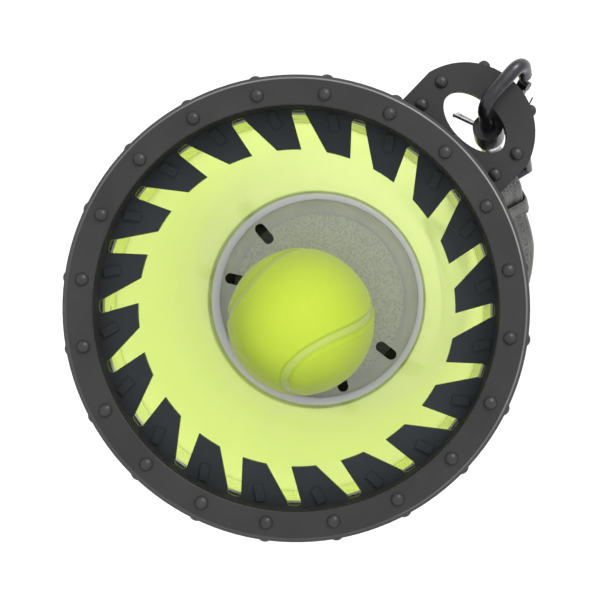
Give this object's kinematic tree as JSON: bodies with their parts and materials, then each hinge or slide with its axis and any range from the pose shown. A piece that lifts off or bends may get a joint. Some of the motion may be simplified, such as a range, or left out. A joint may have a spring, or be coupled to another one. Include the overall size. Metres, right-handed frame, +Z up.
{
  "type": "ball retriever tube",
  "caption": "Lime pick-up tube for balls with a riveted ring of leaning flexible teeth round its mouth, a grey base cup, and a snap-hook wrist strap on an ear of the ring.",
  "frame": {"origin": "centre of the foot ring's underside, on the tube's axis", "axes": "+Z up the tube to its mouth, +X towards the strap ear, +Y across"},
  "size_m": [0.1342, 0.1096, 0.4011],
  "materials": {
    "ring_plastic": "dark grey moulded plastic, satin",
    "rivet_plastic": "dark grey domed rivet heads, satin",
    "tooth_rubber": "flexible near-black rubber",
    "black_rubber": "black rubber",
    "lime_plastic": "glossy lime plastic",
    "grey_plastic": "light grey moulded plastic",
    "pad_foam": "grey foam pad",
    "steel": "plated steel",
    "black_metal": "black lacquered metal",
    "bright_metal": "bright plated metal",
    "black_chrome": "glossy black plated metal",
    "webbing": "grey woven webbing",
    "ball_rubber": "ball core rubber",
    "felt": "fluorescent yellow-green felt"
  },
  "bodies": {
    "tube_body": {"face_ring": "ring_plastic", "face_rivets": "rivet_plastic", "tooth_ring": "tooth_rubber", "hanger_plate": "ring_plastic", "ear_rivets": "rivet_plastic", "ear_gussets": "ring_plastic", "mouth_collar": "ring_plastic", "collar_screws": "steel", "tube_gasket": "black_rubber", "tube": "lime_plastic", "base_cup": "grey_plastic", "base_screws": "steel", "floor_pad": "pad_foam", "foot_ring": "black_rubber", "foot_screws": "steel"},
    "snap_hook": {"hook_body": "black_metal", "gate_pin": "steel", "gate_spring": "bright_metal"},
    "gate": {"gate_lever": "black_metal", "gate_trigger": "bright_metal"},
    "swivel": {"swivel_post": "steel", "swivel_barrel": "black_chrome", "barrel_collar": "bright_metal", "swivel_eye": "black_metal", "strap_loop": "webbing", "strap_keeper": "webbing"},
    "ball": {"ball_core": "ball_rubber", "ball_felt": "felt"}
  },
  "joints": [
    {"name": "hook_swing", "type": "hinge", "parent": "tube_body", "child": "snap_hook", "pos_m": [0.06975, -0.00106, 0.38725], "axis": [0, -1, 0], "range_deg": [0, 70]},
    {"name": "gate_hinge", "type": "hinge", "parent": "snap_hook", "child": "gate", "pos_m": [0.06982, -0.00401, 0.37975], "axis": [0.1059, -0.9262, 0.3618], "range_deg": [0, 15], "stiffness_Nm_per_rad": 0.02, "springref_deg": -20.05, "deforming": ["gate_spring"]},
    {"name": "hook_swivel", "type": "hinge", "parent": "snap_hook", "child": "swivel", "pos_m": [0.05995, -0.00886, 0.37025], "axis": [0.1514, 0.3746, 0.9147], "range_deg": [-40, 40], "deforming": ["strap_loop"]},
    {"name": "ball_lift", "type": "slide", "parent": "tube_body", "child": "ball", "axis": [0.0359, 0.0044, 0.9993], "range_m": [0, 0.4]}
  ]
}
